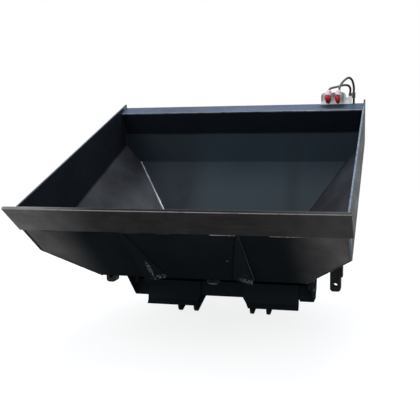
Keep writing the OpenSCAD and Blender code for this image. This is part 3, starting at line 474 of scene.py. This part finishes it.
def cap_material():
    """Red plastic, a little dirty, with painted shade towards the cap's tip."""
    g = Graph("cap_red", (0.50, 0.012, 0.020), 0.38, 0.0, 0.45)
    cloud = g.ramp(g.noise(60, 4, 0.6), 0.3, 0.7)
    base = g.mix(cloud, (0.58, 0.016, 0.026), (0.36, 0.008, 0.014))
    dirty = g.ramp(g.noise(150, 6, 0.7), 0.56, 0.75)
    base = g.mix(g.times(dirty, 0.5), base, (0.10, 0.02, 0.02))
    # Painted shade towards the tip, where it hangs into the shade over the beam
    tip = g.ramp(g.along(2), at(0, 0, CAP_DARK_FROM).z, at(0, 0, CAP_DARK_FULL).z)
    g.set("Base Color", g.mix(g.times(tip, 0.85), base, tone(70, 8, 16)))
    g.bump(g.noise(500, 3, 0.6), 0.1)
    return g.material


def rubber_material():
    """Hose rubber, dusty on top and left of the ferrules."""
    g = Graph("hose_rubber", (0.03, 0.03, 0.03), 0.6, 0.0, 0.3)
    cloud = g.ramp(g.noise(22, 6, 0.65), 0.35, 0.7)
    base = g.mix(cloud, tone(20, 21, 20), tone(34, 36, 35))
    left = g.ramp(g.along(0), HOSE_DUST_FROM * MM, HOSE_DUST_FULL * MM)
    base = g.mix(g.times(left, g.ramp(cloud, 0.0, 1.0, 0.6, 1.0), 0.95), base, tone(122, 130, 124))
    g.set("Base Color", g.mix(g.times(g.upward(0.2, 0.95), 0.3), base, tone(110, 116, 112)))
    g.bump(g.noise(900, 4, 0.7), 0.25, 0.001)
    return g.material


mats["cap"] = cap_material()
mats["rubber"] = rubber_material()

LOOKS = {
    "side": ["side_plate_left"],
    "side_right": ["side_plate_right"],
    "hopper": ["hopper_plate_left", "hopper_plate_right"],
    "back": ["back_plate"],
    "beam": ["top_beam"],
    "floor": ["floor_plate"],
    "foot": ["bottom_plate"],
    "edge": ["cutting_edge"],
    "stiffener": ["front_stiffener_left", "front_stiffener_right"],
    "hitch": ["front_beam", "cheek_left", "cheek_right", "face_plate_left", "face_plate_right",
              "ear_left_outer", "ear_left_inner", "ear_right_inner", "ear_right_outer"],
    "arm": ["hanger_arm_left", "hanger_arm_right", "hanger_gusset_left", "hanger_gusset_right"],
    "paint": ["rear_rib_left", "rear_rib_right", "rail_left", "rail_right", "gate_lug", "cylinder_barrel",
              "anchor_bracket", "rear_beam"],
    "gate": ["slide_gate"],
    "pin": ["rod_pin", "anchor_pin", "anchor_pin_clips", "rod_pin_clips", "cylinder_gland", "cheek_bolts"],
    "zinc": ["bracket_bolts", "port_fittings"],
    "coupler": ["coupler_left", "coupler_right"],
    "galvanised": ["coupler_bracket"],
    "chrome": ["cylinder_rod"],
    "clamp": ["hose_clamps", "hose_ferrules"],
    "cap": ["dust_cap_left", "dust_cap_right"],
    "rubber": ["hose_open", "hose_close"],
}
for look, names in LOOKS.items():
    for name in names:
        data = nodes[name].data
        data.materials.clear()
        data.materials.append(mats[look])

# Small radii on the plates' edges, in mm. Turned and swept nodes keep their own.
RADIUS = 1.2
MERGE = 0.02
SHARP = math.radians(35)
RADII = {"top_beam": 5.0, "cutting_edge": 1.5, "floor_plate": 2.0, "front_beam": 8.0, "rear_beam": 8.0,
         "cheek_bolts": 1.5, "bracket_bolts": 0.8, "coupler_bracket": 0.8}
PLAIN = ["hose_open", "hose_close", "dust_cap_left", "dust_cap_right", "coupler_left", "coupler_right",
         "cylinder_rod", "cylinder_barrel", "cylinder_gland", "rod_pin", "anchor_pin", "rod_pin_clips",
         "anchor_pin_clips", "port_fittings", "hose_ferrules"]
for name, o in nodes.items():
    if name in PLAIN:
        continue
    weld = o.modifiers.new("merge", "WELD")
    weld.merge_threshold = MERGE * MM
    bevel = o.modifiers.new("radius", "BEVEL")
    bevel.width = RADII.get(name, RADIUS) * MM
    bevel.segments = 2
    bevel.limit_method = "ANGLE"
    bevel.angle_limit = SHARP
    bevel.use_clamp_overlap = True


# Pieces
def new_piece(name, verts, faces, look, slot, body="root", smooth=True):
    """A drawn piece that rides on a body."""
    mesh = bpy.data.meshes.new(name)
    mesh.from_pydata([tuple(v) for v in verts], [], faces)
    mesh.validate()
    for p in mesh.polygons:
        p.use_smooth = smooth
    mesh.materials.append(mats[look])
    o = put(name, mesh)
    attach(o, body)
    return o


def ring_faces(rows, sides):
    """The faces between rows of rings, and one across each end."""
    faces = []
    for i in range(rows - 1):
        for k in range(sides):
            a, b = i * sides + k, i * sides + (k + 1) % sides
            faces.append((a, b, b + sides, a + sides))
    faces.append(tuple(range(sides - 1, -1, -1)))
    faces.append(tuple((rows - 1) * sides + k for k in range(sides)))
    return faces


def sweep(path, radii, sides):
    """A tube along a path, with one radius a point and rings that don't twist."""
    verts, normal = [], None
    last = len(path) - 1
    for i, p in enumerate(path):
        t = (path[min(i + 1, last)] - path[max(i - 1, 0)]).normalized()
        if normal is None:
            normal = t.orthogonal()
        normal = (normal - normal.dot(t) * t).normalized()
        b = t.cross(normal)
        for k in range(sides):
            a = 2 * math.pi * k / sides
            verts.append(p + radii[i] * (math.cos(a) * normal + math.sin(a) * b))
    return verts, ring_faces(len(path), sides)


def merge_meshes(parts):
    """Several meshes' vertices and faces as one mesh."""
    verts, faces = [], []
    for v, f in parts:
        base = len(verts)
        verts += v
        faces += [tuple(base + i for i in one) for one in f]
    return verts, faces


# Weld seams
BEAD_STEP = 6.0
BEAD_SIDES = 8
BEAD_UNEVEN = 0.10
BEAD_END = 0.6


def bead(a, b, r, rng):
    """One run of weld metal from a to b, in mm, uneven as beads laid by hand are."""
    n = max(3, int((b - a).length / BEAD_STEP))
    path, radii = [], []
    for i in range(n + 1):
        wobble = Vector([rng.uniform(-1, 1) for _ in range(3)]) * r * BEAD_UNEVEN
        path.append(at(*(a.lerp(b, i / n) + wobble)))
        thick = r * (1 + rng.uniform(-BEAD_UNEVEN, BEAD_UNEVEN)) * (BEAD_END if i in (0, n) else 1.0)
        radii.append(thick * MM)
    return sweep(path, radii, BEAD_SIDES)


def seams(name, runs, look="weld", slot="paint", r=4.0):
    """Beads as one piece. A run is its two ends, in mm, and a radius where it isn't r."""
    rng = random.Random(name)
    beads = [bead(run[0], run[1], run[2] if len(run) > 2 else r, rng) for run in runs]
    new_piece(name, *merge_meshes(beads), look, slot)


def mirrored(v):
    return Vector((-v.x, v.y, v.z))


def both(runs):
    """Each run, followed by its mirror image across the bucket."""
    return [one for run in runs for one in (run, (mirrored(run[0]), mirrored(run[1]), *run[2:]))]


FLOOR_FOOT_X = 560
SEAM_INSET = 2
BEAM_SEAM_R = 3.0
slope_seam = (corner(hopper_in, slope_in, bend_at), corner(hopper_in, slope_in, bottom_in))
nose = Vector((SIDE_IN, NOSE_Y, NOSE_Z))
beam_foot = Vector((SIDE_IN, BACK_Y, BEAM_LOW))
beam_back = Vector((SIDE_IN, BEAM_BACK_Y, BEAM_TOP))
seams("inner_seams", both([
    (corner(hopper_in, side_in, floor_in), corner(hopper_in, side_in, back_in)),
    (corner(hopper_in, back_in, side_in), corner(hopper_in, back_in, bend_at)),
    (corner(hopper_in, floor_in, side_in), corner(hopper_in, floor_in, bottom_in)),
    (corner(hopper_in, floor_in, bottom_in), corner(hopper_in, slope_in, bottom_in)),
    (corner(hopper_in, side_in, back_in), beam_foot),
    (nose, beam_foot),
    (nose, beam_back, BEAM_SEAM_R),
]) + [
    tuple(corner((X, x), floor_in, bottom_in) for x in (-FLOOR_FOOT_X, FLOOR_FOOT_X)),
    (mirrored(slope_seam[1]), slope_seam[1]),
    (mirrored(beam_foot), beam_foot, BEAM_SEAM_R),
])
seams("slope_seam_right", [slope_seam])
seams("slope_seam_left", [tuple(mirrored(v) for v in slope_seam)], look="bright_weld", r=6.5)
side_seam = (X, SIDE_OUT - SEAM_INSET)
seams("outer_seams", both([
    (corner(hopper_out, side_seam, floor_out), corner(hopper_out, floor_out, bottom_out)),
    (corner(hopper_out, slope_out, bottom_in), corner(hopper_out, slope_out, bend_at)),
]), r=3.5)

# The ribs to the back plate, just off both faces of each rib
BESIDE = 1
RIB_SEAM_X = (RIB_IN - BESIDE, RIB_OUT + BESIDE)
BACK_OUT = BACK_Y + PLATE_T
upper = [(Vector((x, BACK_OUT, BEAM_LOW)), Vector((x, BACK_OUT, BEND_Z))) for x in RIB_SEAM_X]
lower = [tuple(corner((X, x), slope_out, end) for end in (bend_at, bottom_in)) for x in RIB_SEAM_X]
seams("rib_seams", both(upper + lower), r=3.5)

# The hanger arms to the slopes above them, all round, and to their gussets
ARM_X, ARM_Y = (642, 702), (971, 1031)
ARM_SEAM_LOW = -460
GUSSET_SEAM_R = 2.5
ARM_CORNERS = [(0, 0), (1, 0), (1, 1), (0, 1)]
arm_top = [corner((X, ARM_X[i]), (Y, ARM_Y[k]), hopper_out) for i, k in ARM_CORNERS]
around = [(arm_top[i], arm_top[(i + 1) % 4]) for i in range(4)]
upright = [(Vector((ARM_X[1], y, ARM_SEAM_LOW)), corner((X, ARM_X[1]), (Y, y), hopper_out), GUSSET_SEAM_R)
           for y in ARM_Y]
seams("arm_seams", both(around + upright), r=3.5)


# The bar's lower edge and the stiffeners, to the floor plate
def on_floor(down, x, up=EDGE_STEP):
    """A place down the floor from the cutting edge, up from the edge bar's underside."""
    return Vector((x, 0, 0)) + FLOOR_DOWN * down + FLOOR_IN * up


BAR_END = 206
BAR_SEAM_UP = 1.5
STIFFENER_TOP_X = 276
STIFFENER_SHORT = 12
FAINT = [(-700, -620), (-560, -480), (-287, -185), (-110, -30)]
BRIGHT = [(156, 280), (439, 629)]


def stitches(spans):
    return [tuple(on_floor(BAR_END, x, BAR_SEAM_UP) for x in span) for span in spans]


seams("bar_stitches_left", stitches(FAINT), look="weld", slot="edge_steel", r=3.2)
seams("bar_stitches_right", stitches(BRIGHT), look="stitch_weld", slot="edge_steel", r=3.4)

STIFFENER_END = FLOOR_END.length - STIFFENER_SHORT
outer_line = (on_floor(BAR_END, STIFFENER_OUT), on_floor(STIFFENER_END, STIFFENER_OUT))
seams("stiffener_seams", both([
    (on_floor(BAR_END, STIFFENER_TOP_X), on_floor(STIFFENER_END, STIFFENER_IN)),
    (on_floor(STIFFENER_END, STIFFENER_OUT), on_floor(STIFFENER_END, STIFFENER_IN)),
]) + [tuple(mirrored(v) for v in outer_line)], look="dark_weld", r=3.0)
seams("stiffener_seam_right", [outer_line], look="worn_weld", r=2.6)

# Hoses, by the same points as the part's
ROUTES = {
    "hose_open": [(590, 1557, 608), (603, 1560, 612), (618, 1566, 615), (637, 1576, 620), (658, 1584, 626),
                  (678, 1596, 628), (694, 1609, 625), (703, 1621, 615), (706, 1629, 602), (705, 1634, 590),
                  (705, 1634, 582), (705, 1634, 550), (705, 1634, 500), (705, 1634, 470), (705, 1634, 440),
                  (694, 1640, 395), (650, 1650, 345), (570, 1658, 300), (480, 1660, 255), (400, 1660, 215),
                  (345, 1660, 175), (322, 1660, 120), (320, 1660, 80), (320, 1660, 60), (320, 1660, 0),
                  (320, 1660, -120), (320, 1660, -240), (320, 1660, -360), (318, 1660, -420),
                  (300, 1650, -468), (260, 1612, -488), (222, 1560, -488), (190, 1490, -488),
                  (170, 1420, -488), (165, 1350, -488), (160, 1290, -488), (140, 1240, -488),
                  (105, 1215, -487)],
    "hose_close": [(646, 1556, 616), (659, 1562, 641), (680, 1578, 663), (699, 1598, 673), (716, 1616, 659),
                   (724, 1629, 634), (727, 1634, 612), (727, 1634, 598), (727, 1634, 550), (727, 1634, 500),
                   (727, 1634, 470), (727, 1634, 440), (718, 1640, 390), (675, 1650, 335), (595, 1658, 280),
                   (505, 1660, 235), (425, 1660, 195), (371, 1660, 150), (347, 1660, 95), (344, 1660, 65),
                   (344, 1660, 30), (344, 1660, -30), (344, 1660, -120), (344, 1660, -240),
                   (344, 1660, -360), (340, 1660, -430), (318, 1652, -480), (275, 1625, -502),
                   (220, 1590, -500), (160, 1562, -492), (110, 1555, -487)],
}
COUPLERS = [Vector((574, 1556, 566)), Vector((635, 1556, 566))]
COUPLER_LEAN = math.radians(12)
COUPLER_UP = Vector((math.sin(COUPLER_LEAN), 0, math.cos(COUPLER_LEAN)))
COUPLER_TOP = 32
FITTINGS = [Vector((70, 1212, -486)), Vector((70, 1554, -486))]
HOSE_R = 7.0
HOSE_SIDES = 14
SPLINE_STEPS = 6
LEAD = (0, 2, 4)


def spline(points):
    """A smooth curve through the points."""
    q = [2 * points[0] - points[1], *points, 2 * points[-1] - points[-2]]
    out = []
    for i in range(1, len(q) - 2):
        for k in range(SPLINE_STEPS):
            t = k / SPLINE_STEPS
            out.append((2 * q[i] + (q[i + 1] - q[i - 1]) * t
                        + (2 * q[i - 1] - 5 * q[i] + 4 * q[i + 1] - q[i + 2]) * t * t
                        + (3 * q[i] - q[i - 1] - 3 * q[i + 1] + q[i + 2]) * t ** 3) / 2)
    out.append(points[-1])
    return out


for (name, route), foot, fitting in zip(ROUTES.items(), COUPLERS, FITTINGS):
    top = foot + COUPLER_UP * COUPLER_TOP
    points = [*[top + COUPLER_UP * d for d in LEAD], *[Vector(p) for p in route],
              *[fitting + X * d for d in reversed(LEAD)]]
    path = [at(*p) for p in spline(points)]
    verts, faces = sweep(path, [HOSE_R * MM] * len(path), HOSE_SIDES)
    hose = new_piece("dusty_" + name, verts, faces, "rubber", "hose_rubber")
    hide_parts(name)

# Couplers and caps, as (radius, height) pairs in mm along the coupler's axis
CAP_BORE = [(9.6, -14.4), (9.6, -0.6)]
CAPS = [CAP_BORE + [(13.5, -0.6), (16.4, -1.6), (18.8, -4), (21.2, -8), (22.6, -12.5), (22.9, -17),
                    (21.8, -24), (19.4, -31), (15.8, -38), (12.4, -44), (10.4, -48), (9.4, -51),
                    (7.6, -53.4), (0.5, -54)],
        CAP_BORE + [(12.8, -0.6), (14.2, -2), (16.2, -8), (17.9, -14), (18.4, -20), (18.3, -27),
                    (16.8, -34), (13.6, -41), (10.6, -46), (8.8, -50), (8.0, -52), (6.4, -53.6),
                    (0.5, -54)]]
CAP_HOLD = 10
COUPLER = [(9.0, -14), (9.0, 0), (14.6, 0.0), (15.0, 0.8), (15.0, 12), (17.0, 12), (17.5, 12.8),
           (17.5, 17), (16.6, 18)]
COUPLER_NUT = [(13.6, 18), (15.0, 19), (15.0, 27), (13.6, 28)]
COUPLER_TAIL = [(8.0, 28), (8.0, 29.4), (7.2, 30.4), (7.2, 32)]
ROUND, TAIL_ROUND, HEX = 40, 28, 6


def lathe(profile, sides, foot, droop=0.0):
    """Turns a profile about a coupler's axis. Droop brings what hangs below the hold back to plumb."""
    side = Y.cross(COUPLER_UP).normalized()
    other = COUPLER_UP.cross(side)
    verts = []
    for r, h in profile:
        hang = X * droop * max(0.0, -h - CAP_HOLD)
        for k in range(sides):
            a = 2 * math.pi * k / sides
            verts.append(at(*(foot + COUPLER_UP * h + hang + r * (math.cos(a) * side + math.sin(a) * other))))
    return verts, ring_faces(len(profile), sides)


for side_name, foot, profile in zip(("left", "right"), COUPLERS, CAPS):
    verts, faces = lathe(profile, ROUND, foot, droop=math.sin(COUPLER_LEAN))
    cap = new_piece(f"red_cap_{side_name}", verts, faces, "cap", "cap_red", f"cap_{side_name}")
    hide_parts(f"dust_cap_{side_name}")
    turned_parts = merge_meshes([lathe(COUPLER, ROUND, foot), lathe(COUPLER_TAIL, TAIL_ROUND, foot),
                                 lathe(COUPLER_NUT, HEX, foot)])
    body = new_piece(f"turned_coupler_{side_name}", *turned_parts, "coupler", "zinc", smooth=False)
    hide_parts(f"coupler_{side_name}")


# Floor, backdrop and light
def seen_ray(tree):
    """1 for the rays that see the backdrop, 0 for those that it lights."""
    rays = tree.nodes.new("ShaderNodeLightPath").outputs
    seen = rays["Is Camera Ray"]
    for name in ("Is Glossy Ray", "Is Transmission Ray"):
        seen = add_node(tree, "ShaderNodeMath", [seen, rays[name]], operation="ADD", use_clamp=True)
    return seen


def show(tree, output, lit, seen):
    """Sends lit to the rays that light the object and seen to those that look at the backdrop."""
    picked = add_node(tree, "ShaderNodeMixShader", [seen_ray(tree), lit, seen])
    tree.links.new(picked, tree.nodes.new(output).inputs[0])


GROUND_HALF = 60
BELOW = 0.0005
WHITE = (1, 1, 1, 1)
GROUND_LIT, GROUND_SEEN, GROUND_GLOW = (0.30, 0.30, 0.30, 1), (0.28, 0.28, 0.28, 1), 0.82
SKY, SKY_STRENGTH = (0.86, 0.93, 1.0, 1), 0.75

low = min(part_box(n)[0].z for n in nodes) - BELOW
mesh = bpy.data.meshes.new("ground")
mesh.from_pydata([(x * GROUND_HALF, y * GROUND_HALF, low) for x, y in ((-1, -1), (1, -1), (1, 1), (-1, 1))],
                 [], [(0, 1, 2, 3)])
ground = put("ground", mesh)
ground_material = bpy.data.materials.new("ground")
ground_material.use_nodes = True
tree = ground_material.node_tree
tree.nodes.clear()
pale = add_node(tree, "ShaderNodeBsdfDiffuse", [GROUND_SEEN])
glow = add_node(tree, "ShaderNodeEmission", [WHITE, GROUND_GLOW])
show(tree, "ShaderNodeOutputMaterial", add_node(tree, "ShaderNodeBsdfDiffuse", [GROUND_LIT]),
     add_node(tree, "ShaderNodeAddShader", [pale, glow]))
mesh.materials.append(ground_material)

world = bpy.data.worlds.new("studio")
bpy.context.scene.world = world
world.use_nodes = True
tree = world.node_tree
tree.nodes.clear()
show(tree, "ShaderNodeOutputWorld", add_node(tree, "ShaderNodeBackground", [SKY, SKY_STRENGTH]),
     add_node(tree, "ShaderNodeBackground", [WHITE, 1.0]))


def area(name, place, target, size, power, color=(1, 1, 1)):
    """A square soft light at place, aimed at target."""
    light = bpy.data.lights.new(name, "AREA")
    light.shape = "SQUARE"
    light.size = size
    light.energy = power
    light.color = color
    o = put(name, light)
    o.location = place
    o.rotation_mode = "QUATERNION"
    o.rotation_quaternion = (Vector(target) - Vector(place)).to_track_quat("-Z", "Y")


area("top", place=(0.2, 0.6, 4.6), target=(0, 0, 0.6), size=4.0, power=130, color=(0.92, 0.96, 1.0))
area("key", place=(-2.6, -3.2, 3.2), target=(0, -0.3, 0.5), size=2.4, power=60)
bpy.context.scene.view_settings.view_transform = "Standard"
